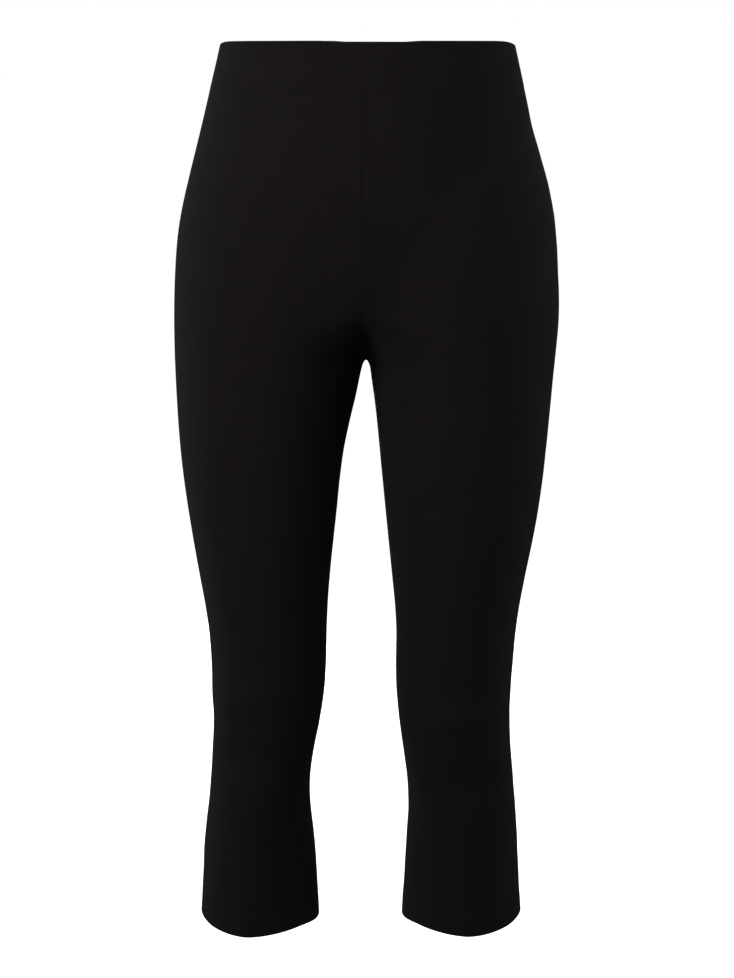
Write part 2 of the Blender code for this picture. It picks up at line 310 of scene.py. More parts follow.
def read_sections(side, face, share, margin, height):
    """x, y, and the runs to the centre seam, to the side seam and from the crown, at each point."""
    tables = np.empty((5, len(TABLE_HEIGHTS), len(share)))
    for row, (x, y, run, crown_share) in enumerate(sections_of(side, face)):
        crown = run[OUTLINE_STEPS - 1]
        before = margin + (crown - margin) * share / crown_share
        after = crown + (run[-1] - margin - crown) * (share - crown_share) / (1 - crown_share)
        place = np.where(share <= crown_share, before, after)
        tables[:, row] = (
            np.interp(place, run, x),
            np.interp(place, run, y),
            place,
            run[-1] - place,
            place - crown,
        )
    return (
        np.column_stack(
            [np.interp(height[:, i], TABLE_HEIGHTS, table[:, i]) for i in range(len(share))]
        )
        for table in tables
    )


print(len(TABLE_HEIGHTS), "sections for each quarter")

# %% [markdown]
# ## How rows bend and legs stand
#
# Above the crotch, rows sink towards the centre seam and close up, so that they follow its curve.
# Down the legs, the right one comes forward and the left one back, until they stand a centimetre
# apart in depth at the hem. The lower leg leans back, and its hem is square to it, so the hem hangs
# lower in front than behind. Its fold also sinks a little at the inseam and lifts at the side.

# %% The crotch's rows, the stance and the hem
RISE = {FRONT: 75 * MM, BACK: 95 * MM}
RISE_SHARE = 0.6
STANCE = 5 * MM
HEM_TILT = math.radians(9.5)
TILT_START = -540 * MM
TILT_FULL = -700 * MM
HEM_SINK = 2.7 * MM
HEM_LIFT = 1.0 * MM
SINK_SHARE = 0.2


def row_height(face, level, share):
    """Rows close up towards the crotch, so that they follow the centre seam's curve under it."""
    climb = np.clip((level - CROTCH) / RISE[face], 0.0, 1.0)
    at_seam = CROTCH + RISE[face] * (1 - np.cos(climb * math.pi / 2))
    sinks = np.where((climb > 0) & (climb < 1), level - at_seam, 0.0)
    return level - sinks * np.clip(1 - share / RISE_SHARE, 0.0, 1.0) ** 2


def stand(side, share, x, y, height):
    """Points of upright sections, moved to where a standing leg and its hem have them."""
    stance = side * STANCE * smooth((CROTCH - height) / (CROTCH - HEM))
    tilt = math.tan(HEM_TILT) * smooth((TILT_START - height) / (TILT_START - TILT_FULL))
    sink = HEM_SINK * smooth(1 - share / SINK_SHARE)
    sink = sink - HEM_LIFT * smooth(1 - (1 - share) / SINK_SHARE)
    sink = sink * smooth((TILT_FULL - height) / (TILT_FULL - HEM))
    return np.stack([x, y + stance, height + tilt * (y - mid_depth(height)) - sink], axis=-1)


print(f"hems {2 * STANCE:.3f} m apart in depth, tilted by {math.degrees(HEM_TILT):.1f} degrees")

# %% [markdown]
# ## Outward directions
#
# The cloth's relief is laid on along the outward directions. Two pieces have to meet in every
# seam, so within 5 mm of one the direction turns until it lies in the plane of that seam.

# %% Points and outward directions of a quarter
HIP_QUARTER = 232 * MM
MEETING = 5 * MM


def form_grid(side, face, columns, levels):
    """Points, normals, and the runs to the centre seam, to the side seam and from the crown.

    There is a row for each level and a column for each pair of share and margin.
    """
    share, margin = np.array(columns).T
    across = share + (1 - 2 * share) * margin / HIP_QUARTER
    height = row_height(face, levels[:, None], across[None, :])
    x, y, to_centre, to_side, from_crown = read_sections(side, face, share, margin, height)
    points = stand(side, share, x, y, height)
    down = np.gradient(points, axis=0)
    aside = np.gradient(points, axis=1)
    normals = np.cross(down, aside) * -side * face
    near_centre = smooth(to_centre / MEETING)
    normals[..., 0] *= np.where(height >= CROTCH, near_centre, 1)
    normals[..., 1] *= np.where(height <= CROTCH, near_centre, 1) * smooth(to_side / MEETING)
    normals[..., 2] *= smooth(np.abs(height - WAIST_SEAM) / MEETING)
    normals /= np.linalg.norm(normals, axis=-1, keepdims=True)
    return points, normals, to_centre, to_side, from_crown


hem_ends = form_grid(LEFT, FRONT, [(0.0, 0.0), (1.0, 0.0)], np.array([CROTCH, HEM]))[0][-1]
print(f"the left hem is {np.ptp(hem_ends[:, 0]):.3f} m across")

# %% [markdown]
# ## Folds
#
# Stretch jersey on a figure has only a few soft folds, and they come where the figure bends: a
# long shallow trough from the crotch to each hip, the left one much deeper, short drag lines beside
# the crotch, a step where the thigh ends at the knee, and a few wrinkles across the back of the
# knee and under the seat. Each is a line on the cloth with a soft profile: its height falls off to
# both sides as a bell curve and fades towards its ends. A ridge takes its cloth from both sides, so
# it has a faint trough along each. No two have the same length, depth or direction.
#
# Down the front the centre seam is drawn to a low ridge over the belly, and lower down it sinks
# between the thighs. A slow unevenness lies over everything, as cloth is never ruled.

# %% The table of folds, in millimetres
# Each row holds x and z of the fold's middle, its direction in degrees (0 lies level, 90 stands
# upright), length, width and bow, and its height, which makes a trough when it is below 0.
FOLDS = {
    FRONT: (
        (69, -130, 66, 220, 38.0, 3, -5.4),
        (16, -226, 80, 66, 24.0, 0, -2.2),
        (2, -230, 90, 72, 13.0, 0, -2.8),
        (-52, -186, 118, 160, 27.0, -5, -1.2),
        (24, -247, 60, 44, 6.5, 4, -1.2),
        (42, -240, 50, 56, 10.0, 5, 0.9),
        (-25, -138, 92, 40, 7.0, 0, 0.6),
        (86, -580, -3, 62, 18.0, 4, 2.6),
        (90, -634, 6, 58, 21.0, -4, -3.2),
        (-110, -560, 9, 60, 19.0, 4, 2.4),
        (-100, -616, -8, 58, 21.0, 4, -2.4),
        (-82, -700, 14, 46, 13.0, 3, -0.5),
    ),
    BACK: (
        (86, -233, 14, 92, 13.0, 9, -1.8),
        (-84, -236, -12, 84, 12.0, 8, -1.6),
        (96, -262, 20, 70, 11.0, 7, -1.0),
        (-92, -266, -22, 74, 12.0, 8, -1.1),
        (88, -560, 6, 74, 9.0, 6, -1.9),
        (94, -584, -5, 66, 8.0, -4, 1.2),
        (84, -604, 8, 70, 9.0, 5, -1.5),
        (-90, -556, -8, 70, 9.0, 5, -1.7),
        (-94, -578, 4, 72, 8.5, -5, 1.1),
        (-86, -600, -6, 64, 9.0, 4, -1.6),
    ),
}
RIDGE_TROUGHS = 0.55
FADE_END = 1.35  # of half a fold's length from its middle
print(len(FOLDS[FRONT]), "folds in front and", len(FOLDS[BACK]), "behind")

# %% Height of the cloth over its form
CENTRE_REACH = 28 * MM
CENTRE_PULL = (  # places down the centre front seam and its height over the form, in millimetres
    (-20, 0.0),
    (-60, 1.9),
    (-120, 2.5),
    (-170, 1.8),
    (-210, 0.0),
    (-240, -1.0),
    (-262, 0.0),
)
UNEVEN = 0.16 * MM
UNEVEN_WAVES = (  # turns in radians for each metre of x and of z, and where the wave starts
    (31, 12, 0.4),
    (-17, 27, 2.8),
    (9, -22, 5.4),
    (41, 35, 3.3),
    (-36, 19, 8.1),
)
centre_pull = spline(*(np.array(sorted(CENTRE_PULL)).T * MM))


def fold_relief(face, points, to_centre):
    """Height of the folds at each point, in metres."""
    x = points[..., 0] / MM
    z = points[..., 2] / MM
    relief = np.zeros(x.shape)
    for middle_x, middle_z, turn, length, width, bow, height in FOLDS[face]:
        lie = math.radians(turn)
        along = (x - middle_x) * math.cos(lie) + (z - middle_z) * math.sin(lie)
        across = (z - middle_z) * math.cos(lie) - (x - middle_x) * math.sin(lie)
        reach = along / (length / 2)
        across = (across - bow * (1 - reach**2)) / width
        sides = RIDGE_TROUGHS * across**2 if height > 0 else 0.0
        fade = smooth(FADE_END - np.abs(reach))
        relief += height * MM * fade * (1 - sides) * np.exp(-(across**2))
    if face == FRONT:
        down_seam = np.clip(points[..., 2], CROTCH, WAIST_SEAM)
        relief += centre_pull(down_seam) * np.exp(-to_centre / CENTRE_REACH)
    for wave_x, wave_z, start in UNEVEN_WAVES:
        turns = points[..., 0] * wave_x + points[..., 1] * (wave_z - wave_x) / 2
        relief += UNEVEN * np.sin(turns + points[..., 2] * wave_z + start)
    return relief


print(f"the centre front seam rises {max(rise for _, rise in CENTRE_PULL)} mm over the belly")

# %% [markdown]
# ## A leg panel
#
# Each leg has a front and a back, cut in one from the waist seam to the hem. Its columns and rows
# lie close together at the seams, under the crotch and at the hem's stitches and fold, where the
# cloth bends in less than a millimetre, and wider apart in between.

# %% Columns and rows of a leg panel
PANEL_COLUMNS = 64
EDGE = 4.6 * MM
EDGE_STEPS = np.array([0.0, 0.2, 0.42, 0.75, 1.2, 2.0, 3.1]) * MM
HEM_STITCH = -751 * MM
CROTCH_STEPS = np.array([0.0, 0.3, 0.8, 1.6, 2.8, 4.5]) * MM
STITCH_STEPS = np.linspace(-3, 3, 13) * MM
FOLD_STEPS = np.array([0, 0.1, 0.35, 0.7, 1.2, 2.2]) * MM
ROW_STEP = 3.2 * MM
ROW_CLEAR = 0.9 * MM  # least distance of a plain row from the close ones
FOLD_CLEAR = 4 * MM


def panel_columns():
    """Share and margin of each column, closer together towards both seams."""
    centre = [(0.0, step) for step in EDGE_STEPS]
    middle = [(share, EDGE) for share in np.linspace(0, 1, PANEL_COLUMNS)]
    side = [(1.0, step) for step in EDGE_STEPS[::-1]]
    return centre + middle + side


def panel_levels():
    """Levels of the rows from the waist seam down to the hem fold."""
    close = np.concatenate([CROTCH - CROTCH_STEPS, HEM_STITCH + STITCH_STEPS])
    plain = np.arange(WAIST_SEAM - EDGE, HEM + FOLD_CLEAR, -ROW_STEP)
    plain = plain[np.abs(plain[:, None] - close[None, :]).min(axis=1) > ROW_CLEAR]
    levels = np.concatenate([WAIST_SEAM - EDGE_STEPS, close, HEM + FOLD_STEPS, plain])
    return np.sort(levels)[::-1]


print(len(panel_columns()), "columns,", len(panel_levels()), "rows")

# %% [markdown]
# ## Seams, and the inside of a panel
#
# At its seams the cloth turns in, so that two panels meet in a fine groove, and thread tension
# puckers it a little. Down the centre and the sides the groove nearly fades out in places, as the
# thread pulls unevenly. The waist seam is pressed flat by the elastic band, so its groove hardly
# shows.
#
# Double-knit jersey is about 1.2 mm thick. At the hem it folds inwards and runs up again for 26 mm
# to the row of stitches, so its wall is double there, and the stitches draw a fine ditch.

# %% Relief beside a seam
SEAM_ROUND = 1.0 * MM
SEAM_SHALLOW = 0.2  # of the radius, where the groove is at its finest
PULL_WAVES = (23 * MM, 9.1 * MM)
PUCKER = 0.10 * MM
PUCKER_REACH = 4 * MM
PUCKER_WAVES = ((5.3 * MM, 1.0, 1.0), (8.1 * MM, 0.7, 2.3))  # length, strength, share of the phase


def turned_in(distance, radius):
    """How deep a rounded edge lies at a distance from its end."""
    short = np.clip(radius - distance, 0, radius)
    return radius - np.sqrt(radius**2 - short**2)


def seam_round(levels, phase):
    """Radius of a seam's rounded edge down its length, deeper and shallower by turns."""
    pull = np.sin(levels / PULL_WAVES[0] + phase) + np.sin(levels / PULL_WAVES[1] - 2 * phase)
    return SEAM_ROUND * (SEAM_SHALLOW + (1 - SEAM_SHALLOW) * (2 + pull) / 4)


def pucker(distance_to_seam, along, phase):
    """Small waves that thread tension leaves beside a seam."""
    wave = sum(
        strength * np.sin(along / length + share * phase)
        for length, strength, share in PUCKER_WAVES
    )
    return PUCKER * wave * np.exp(-distance_to_seam / PUCKER_REACH)


grooves = seam_round(np.arange(HEM, WAIST_SEAM, MM), 0.0) / MM
print(f"the centre seam's groove is {grooves.min():.2f} to {grooves.max():.2f} mm deep")

# %% A panel's outside and inside
CLOTH = 1.2 * MM
HEM_WALL = 2.4 * MM
HEM_STEP = 1.5 * MM  # over which the wall doubles, just under the stitches
HEM_ROUND = 1.15 * MM
WAIST_ROUND = 0.14 * MM
STITCH_DITCH = 0.22 * MM
DITCH_WIDTH = 1.0 * MM
CENTRE_PHASE = 0.4  # start of the puckers at the centre seam and the inseams


def side_phase(side, face):
    """Start of the puckers at a side seam, different for each panel."""
    return 1.7 * side + 0.6 * face


def panel_grid(side, face, columns, levels):
    """A leg panel's form with the relief of its outside and of its inside, and its runs."""
    points, normals, to_centre, to_side, from_crown = form_grid(side, face, columns, levels)
    down = levels[:, None]
    hem_round = turned_in(down - HEM, HEM_ROUND)
    folds = fold_relief(face, points, to_centre)
    outside = folds + pucker(to_centre, down, CENTRE_PHASE)
    outside += pucker(to_side, down, side_phase(side, face))
    outside -= turned_in(to_centre, seam_round(down, 0.0))
    outside -= turned_in(to_side, seam_round(down, side))
    outside -= turned_in(WAIST_SEAM - down, WAIST_ROUND)
    outside -= hem_round
    outside -= STITCH_DITCH * np.exp(-(((down - HEM_STITCH) / DITCH_WIDTH) ** 2))
    turned_up = smooth((HEM_STITCH - down) / HEM_STEP)
    inside = folds - CLOTH - (HEM_WALL - CLOTH) * turned_up + hem_round
    return points, normals, outside, inside, to_centre, to_side, from_crown


# %% [markdown]
# ## Cloth as a closed shell
#
# A sheet of cloth could be one surface with a Solidify modifier. Here the wall changes with the
# place, so the shell is made of two grids, its face and its inside, with a strip of faces round the
# rim. The flat cut is kept as a UV map in metres, which lets the knit follow the cloth.

# %% A shell from a grid and two heights over it
def closed_piece(mesh):
    """A piece with a closed mesh, its faces turned outwards and shaded smooth.

    The operator judges a shell by one of its faces, and on a thin bent wall it can choose the wrong
    way. The volume that the faces enclose is then negative, and all of them are flipped.
    """
    piece = bpy.data.objects.new(mesh.name, mesh)
    bpy.context.collection.objects.link(piece)
    bpy.ops.object.select_all(action="DESELECT")
    bpy.context.view_layer.objects.active = piece
    piece.select_set(True)
    bpy.ops.object.mode_set(mode="EDIT")
    bpy.ops.mesh.select_all(action="SELECT")
    bpy.ops.mesh.normals_make_consistent(inside=False)
    if bmesh.from_edit_mesh(mesh).calc_volume(signed=True) < 0:
        bpy.ops.mesh.flip_normals()
    bpy.ops.object.mode_set(mode="OBJECT")
    piece.select_set(False)
    mesh.shade_smooth()
    return piece


def cloth_shell(name, points, normals, outside, inside, flat_cut):
    """A closed wall between two heights over a grid, with the flat cut in metres as its UV map."""
    rows, columns = points.shape[:2]
    count = rows * columns
    index = np.arange(count).reshape(rows, columns)
    quads = np.stack([index[:-1, :-1], index[:-1, 1:], index[1:, 1:], index[1:, :-1]], axis=-1)
    quads = quads.reshape(-1, 4)
    rim = np.concatenate([index[0], index[1:, -1], index[-1, -2::-1], index[-2:0:-1, 0]])
    after = np.roll(rim, -1)
    sides = np.stack([after, rim, rim + count, after + count], axis=-1)
    faces = np.concatenate([quads, quads[:, ::-1] + count, sides])

    mesh = bpy.data.meshes.new(name)
    vertices = np.stack([points + normals * height[..., None] for height in (outside, inside)])
    mesh.from_pydata(vertices.reshape(-1, 3).tolist(), [], faces.tolist())
    flat = np.tile(flat_cut.reshape(-1, 2), (2, 1))
    uv_map = mesh.uv_layers.new(name="cut")
    corners = np.empty(len(mesh.loops), dtype=np.int32)
    mesh.loops.foreach_get("vertex_index", corners)
    uv_map.data.foreach_set("uv", flat[corners].ravel())
    mesh.validate()
    return closed_piece(mesh)


# %% The four leg panels
def leg_panel(side, face):
    """The shell of one leg panel, its flat cut unrolled from the line of its crown."""
    name = f"{FACE_NAMES[face]}_{SIDE_NAMES[side]}"
    points, normals, outside, inside, _, _, from_crown = panel_grid(
        side, face, panel_columns(), panel_levels()
    )
    crown_column = np.abs(from_crown).sum(axis=0).argmin()
    steps = np.linalg.norm(np.diff(points[:, crown_column], axis=0), axis=1)
    down = np.concatenate([[0.0], np.cumsum(steps)])
    flat = np.stack([from_crown, -np.broadcast_to(down[:, None], from_crown.shape)], axis=-1)
    panel = cloth_shell(f"{name}_cloth", points, normals, outside, inside, flat)
    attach(panel, "root")
    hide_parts(name)
    return panel


QUARTERS = [(side, face) for side in (RIGHT, LEFT) for face in (FRONT, BACK)]
panels = {quarter: leg_panel(*quarter) for quarter in QUARTERS}
for panel in panels.values():
    print(panel.name, len(panel.data.polygons), "faces")

# %% [markdown]
# ## The waistband
#
# The band is one strip for the front and one for the back, joined at the side seams and folded
# double at the top, round a soft elastic. A plain belt could be extruded from a loop. Laid on the
# same form as the legs, the band meets them all round in the waist seam. Its top edge is a soft
# fold, which sinks a little at the side seams and by less than a millimetre at the centre.

# %% Rows, columns and top edge of the waistband
BAND_COLUMNS = 72
BAND_EDGE_STEPS = np.array([0.0, 0.1, 0.3, 0.6, 1.0, 1.6]) * MM
BAND_ROW_STEP = 2.6 * MM
TOP_CLEAR = 3 * MM  # of the plain rows from the top edge
BOTTOM_CLEAR = 2.2 * MM
SIDE_DIP = 3.5 * MM
SIDE_DIP_POWER = 30
TOP_SINK = 0.8 * MM
SINK_MIDDLE = 7 * MM
SINK_REACH = 44 * MM
SINK_EASE = 16 * MM


def band_levels():
    """Levels of the rows from the top edge down to the waist seam."""
    plain = np.arange(BAND_TOP - TOP_CLEAR, WAIST_SEAM + BOTTOM_CLEAR, -BAND_ROW_STEP)
    bottom = (WAIST_SEAM + BAND_EDGE_STEPS)[::-1]
    return np.concatenate([BAND_TOP - BAND_EDGE_STEPS, plain, bottom])


def band_columns():
    """Share and margin of each column from the centre, where there is no seam, to a side seam."""
    middle = [(share, EDGE) for share in np.linspace(0, 1, BAND_COLUMNS)]
    return [(0.0, 0.0)] + middle + [(1.0, step) for step in EDGE_STEPS[::-1]]


def top_edge_sink(levels, x):
    """How far the top edge and the rows under it sink, at the side seams and at the centre."""
    near_top = ((levels - WAIST_SEAM) / (BAND_TOP - WAIST_SEAM))[:, None]
    reach = np.minimum(np.abs(x) / FORM["left_out"](levels)[:, None], 1.0)
    centre = smooth((SINK_REACH - np.abs(x - SINK_MIDDLE)) / SINK_EASE)
    return near_top * (SIDE_DIP * reach**SIDE_DIP_POWER + TOP_SINK * centre)


print(2 * len(band_columns()) - 1, "columns,", len(band_levels()), "rows")

# %% The two halves of the waistband
BAND_WALL = 2.6 * MM
BAND_PROUD = 0.1 * MM  # over the legs' cloth
BAND_ROUND = 1.2 * MM  # of the fold at the top edge, a little less than half the wall


def waistband(face):
    """One half of the band, from the right side seam to the left, as a shell with its flat cut as
    UV map.
    """
    name = f"waistband_{FACE_NAMES[face]}"
    levels = band_levels()
    right, left = (form_grid(side, face, band_columns(), levels) for side in (RIGHT, LEFT))
    points, normals, to_centre, to_side = (
        np.concatenate([right[i][:, :0:-1], left[i]], axis=1) for i in range(4)
    )
    points[..., 2] -= top_edge_sink(levels, points[..., 0])
    top_round = turned_in((BAND_TOP - levels)[:, None], BAND_ROUND)
    bottom_round = turned_in((levels - WAIST_SEAM)[:, None], WAIST_ROUND)
    relief = fold_relief(face, points, to_centre) + BAND_PROUD
    relief = relief - turned_in(to_side, SEAM_ROUND * SEAM_SHALLOW)
    outside = relief - top_round - bottom_round
    inside = relief - BAND_WALL + top_round
    run = np.concatenate([-right[2][:, :0:-1], left[2]], axis=1)
    flat = np.stack([run, np.broadcast_to(levels[:, None], run.shape)], axis=-1)
    band = cloth_shell(f"{name}_cloth", points, normals, outside, inside, flat)
    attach(band, "root")
    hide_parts(name)
    return band


bands = {face: waistband(face) for face in (FRONT, BACK)}

# %% [markdown]
# ## Overlocked seam allowances
#
# Inside, each seam has its two cut edges lying together to one side, trimmed to 7 mm and wrapped
# by an overlock machine in loops of thread. They show when one looks into the waist or the hems.
# Modelled loop by loop they would be thousands of tiny pieces, so a strip of cloth follows the seam
# on the inside of the panel, and its free half is ribbed by the loops. The same ribs finish the raw
# edge of the turned-up hem.

# %% A ribbed strip on the inside of the cloth
ALLOWANCE = 7 * MM
CLEARANCE = 0.05 * MM
LOOP = 3.2 * MM
LOOP_STEP = 0.8 * MM
LOOP_REACH = 4.0 * MM
LOOP_EASE = 0.6 * MM
LOOP_DEPTH = 0.35
STRIP_ROUND = 0.45  # of the strip's thickness


def ribbed_strip(name, points, normals, floor, across, along, thickness):
    """A strip that lies on a floor of depths, its far half ribbed along its length."""
    ribs = 0.5 + 0.5 * np.cos(along / LOOP * 2 * math.pi)
    looped = smooth((across - (ALLOWANCE - LOOP_REACH)) / LOOP_EASE)
    wall = thickness * (1 - LOOP_DEPTH * looped * (1 - ribs))
    radius = STRIP_ROUND * thickness
    wall = wall - turned_in(across, radius) - turned_in(ALLOWANCE - across, radius)
    back = floor - CLEARANCE
    flat = np.stack([np.broadcast_to(across, along.shape), along], axis=-1)
    strip = cloth_shell(name, points, normals, back - wall, back, flat)
    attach(strip, "root")
    return strip


# %% Strips down a seam and strips round the leg
ALLOWANCE_WALL = 1.8 * MM
STRIP_ACROSS = np.array([0.0, 0.25, 0.7, 1.6, 2.6, 3.1, 3.8, 5.0, 6.2, 6.7, 7.0]) * MM
SEAM_GAP = 0.2 * MM  # between a strip and its seam
END_GAP = 0.3 * MM  # between a round strip's ends and the seams beside it


def run_down(points):
    """Distance of each row from the first one, along the first column."""
    steps = np.linalg.norm(np.diff(points[:, :1], axis=0), axis=-1)
    return np.concatenate([np.zeros((1, 1)), np.cumsum(steps, axis=0)]) * np.ones(points.shape[:2])


def seam_strip(name, side, face, share, top, bottom):
    """The allowance along a panel's centre seam or inseam (share 0) or side seam (share 1)."""
    steps = STRIP_ACROSS[::-1] if share else STRIP_ACROSS
    columns = [(share, step + SEAM_GAP) for step in steps]
    levels = np.arange(top, bottom, -LOOP_STEP)
    points, normals, _, inside, to_centre, to_side, _ = panel_grid(side, face, columns, levels)
    across = (to_side if share else to_centre) - SEAM_GAP
    return ribbed_strip(name, points, normals, inside, across, run_down(points), ALLOWANCE_WALL)


def round_strip(name, side, face, levels, thickness):
    """An allowance that runs level, round a quarter of the waist or of a hem."""
    count = int(HIP_QUARTER / LOOP_STEP)
    columns = [(share, END_GAP) for share in np.linspace(0, 1, count)]
    points, normals, _, inside, to_centre, _, _ = panel_grid(side, face, columns, levels)
    across = (levels[0] - levels)[:, None] * np.ones(to_centre.shape)
    return ribbed_strip(name, points, normals, inside, across, to_centre, thickness)


# %% All the strips
BELOW_WAIST = WAIST_SEAM - ALLOWANCE - 2 * MM
ABOVE_HEM = HEM_STITCH + 2 * MM
CENTRE_STOP = CROTCH + 8 * MM
INSEAM_START = CROTCH - 12 * MM
WAIST_LEVELS = WAIST_SEAM - 0.4 * MM - STRIP_ACROSS
HEM_LEVELS = HEM_STITCH - HEM_STEP - STRIP_ACROSS
HEM_EDGE_WALL = 0.7 * MM

strips = {quarter: [] for quarter in QUARTERS}
for face, face_name in FACE_NAMES.items():
    name = f"centre_{face_name}_allowance"
    strips[RIGHT, face].append(seam_strip(name, RIGHT, face, 0.0, BELOW_WAIST, CENTRE_STOP))
for side, side_name in SIDE_NAMES.items():
    strips[side, BACK] += [
        seam_strip(f"{side_name}_inseam_allowance", side, BACK, 0.0, INSEAM_START, ABOVE_HEM),
        seam_strip(f"{side_name}_side_allowance", side, BACK, 1.0, BELOW_WAIST, ABOVE_HEM),
    ]
    for face, face_name in FACE_NAMES.items():
        place = f"{face_name}_{side_name}"
        strips[side, face] += [
            round_strip(f"waist_allowance_{place}", side, face, WAIST_LEVELS, ALLOWANCE_WALL),
            round_strip(f"hem_edge_{place}", side, face, HEM_LEVELS, HEM_EDGE_WALL),
        ]
print(sum(len(each) for each in strips.values()), "strips")

# %% [markdown]
# ## Hem stitches
#
# The turned-up hem is held by one row of small stitches in matching thread, sunk a little in the
# cloth. One stitch is a sphere drawn out to a grain, and copies of it go round the leg at the
# machine's stitch length, all in one mesh.

# %% One stitch
STITCH = 2.7 * MM
THREAD = 0.34 * MM

bpy.ops.mesh.primitive_uv_sphere_add(segments=8, ring_count=5, radius=THREAD / 2)
grain = bpy.context.object
bpy.ops.object.mode_set(mode="EDIT")
bpy.ops.mesh.select_all(action="SELECT")
bpy.ops.transform.rotate(value=math.pi / 2, orient_axis="Y", center_override=(0, 0, 0))
bpy.ops.transform.resize(value=(STITCH / THREAD, 1, 1))
bpy.ops.object.mode_set(mode="OBJECT")
grain_points = np.array([vertex.co[:] for vertex in grain.data.vertices])
grain_faces = sorted(list(face.vertices) for face in grain.data.polygons)  # same order each run
bpy.data.objects.remove(grain)
print(f"a stitch is {np.ptp(grain_points[:, 0]):.4f} m long")

# %% A row of stitches round each leg
STITCH_PITCH = 3.3 * MM
STITCH_SINK = 0.06 * MM
ROW_POINTS = 240
NEAR = 0.5 * MM  # between the points that give a stitch its directions


def stitch_places(side, face):
    """Each stitch's place on half a hem, and the directions along it, beside it and outwards."""
    columns = [(share, 0.0) for share in np.linspace(0, 1, ROW_POINTS)]
    levels = HEM_STITCH + np.array([NEAR, 0.0, -NEAR])
    points, normals, outside, _, run, _, _ = panel_grid(side, face, columns, levels)
    surface = (points + normals * (outside - STITCH_SINK)[..., None])[1]

    def read(table, places):
        return np.column_stack([np.interp(places, run[1], table[:, i]) for i in range(3)])

    places = np.arange(STITCH_PITCH / 2, run[1, -1], STITCH_PITCH)
    centre = read(surface, places)
    tangent = read(surface, places + NEAR) - centre
    tangent /= np.linalg.norm(tangent, axis=1, keepdims=True)
    up = read(normals[1], places)
    return np.stack([centre, tangent, np.cross(up, tangent), up], axis=1)


def stitch_row(side):
    """All the hem stitches of one leg as one mesh."""
    frames = np.concatenate([stitch_places(side, face) for face in (FRONT, BACK)])
    vertices = frames[:, None, 0] + np.einsum("vi,sij->svj", grain_points, frames[:, 1:])
    faces = [
        [corner + i * len(grain_points) for corner in face]
        for i in range(len(frames))
        for face in grain_faces
    ]
    mesh = bpy.data.meshes.new(f"hem_stitches_{SIDE_NAMES[side]}")
    mesh.from_pydata(vertices.reshape(-1, 3).tolist(), [], faces)
    row = closed_piece(mesh)
    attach(row, "root")
    print(f"{row.name}: {len(frames)} stitches, {len(mesh.polygons)} faces")
    return row


stitches = {side: stitch_row(side) for side in SIDE_NAMES}

# %% [markdown]
# ## The cut of each panel
#
# Each leg panel's flat cut is measured as worn, from seam to seam and from the waist seam to the
# hem fold, with its area, and printed.

# %% Flat sizes
def cut_of(side, face):
    """Width, length and area of a leg panel's flat cut, in metres."""
    points, _, to_centre, to_side, _ = form_grid(side, face, panel_columns(), panel_levels())
    width = (to_centre + to_side).max()
    length = np.linalg.norm(np.diff(points, axis=0), axis=-1).sum(axis=0).max()
    across = points[1:, :-1] - points[:-1, :-1]
    down = points[:-1, 1:] - points[:-1, :-1]
    area = np.linalg.norm(np.cross(across, down), axis=-1).sum()
    return float(width), float(length), float(area)


for (side, face), panel in panels.items():
    width, length, area = cut_of(side, face)
    print(f"{panel.name}: {width:.3f} x {length:.3f} m, {area:.4f} m2")

# %% [markdown]
# ## Material of the cloth
#
# Double-knit jersey, or ponte, is a stable stretch knit of viscose and polyester. Dyed black it
# sends back about a hundredth of the light, a little more of it red and blue than green. Fine fibre
# ends add a faint sheen where the cloth turns away.
#
# The face shows rows of fine V-shaped loops, the wales. A pattern on the cloth's own flat
# coordinates draws them: a rib for each wale, and across it the slanting loops. The loops raise a
# fine bump, together with a fuzz finer than the loops, and darken the colour between the wales as
# painted shade. A large soft noise makes the dye a little uneven.

# %% Colours, nodes and materials
def linear(hex_colour):
    """An sRGB colour such as #1b181c as linear values with full alpha."""
    shares = [int(hex_colour[i : i + 2], 16) / 255 for i in (1, 3, 5)]
    curve = [s / 12.92 if s <= 0.04045 else ((s + 0.055) / 1.055) ** 2.4 for s in shares]
    return (*curve, 1.0)


def set_inputs(tree, node, inputs):
    """Sets a node's inputs to values, or links them to outputs: of a whole node, the first."""
    for name, value in inputs.items():
        if isinstance(value, bpy.types.Node):
            value = value.outputs[0]
        if isinstance(value, bpy.types.NodeSocket):
            tree.links.new(value, node.inputs[name])
        else:
            node.inputs[name].default_value = value


def add_node(tree, kind, inputs=None, **settings):
    """A new node with its settings and its inputs."""
    node = tree.nodes.new(kind)
    for name, value in settings.items():
        setattr(node, name, value)
    set_inputs(tree, node, inputs or {})
    return node


def new_material(name):
    """A material, its node tree and its shader."""
    material = bpy.data.materials.new(name)
    material.use_nodes = True
    return material, material.node_tree, material.node_tree.nodes["Principled BSDF"]


# %% The knit's pattern of wales and slanting loops
WALE = 1.0 * MM  # a real wale is about 0.7 mm; drawn a little coarser so that it shows close up
COURSE = 0.9 * MM
LOOP_SHARE = 0.3


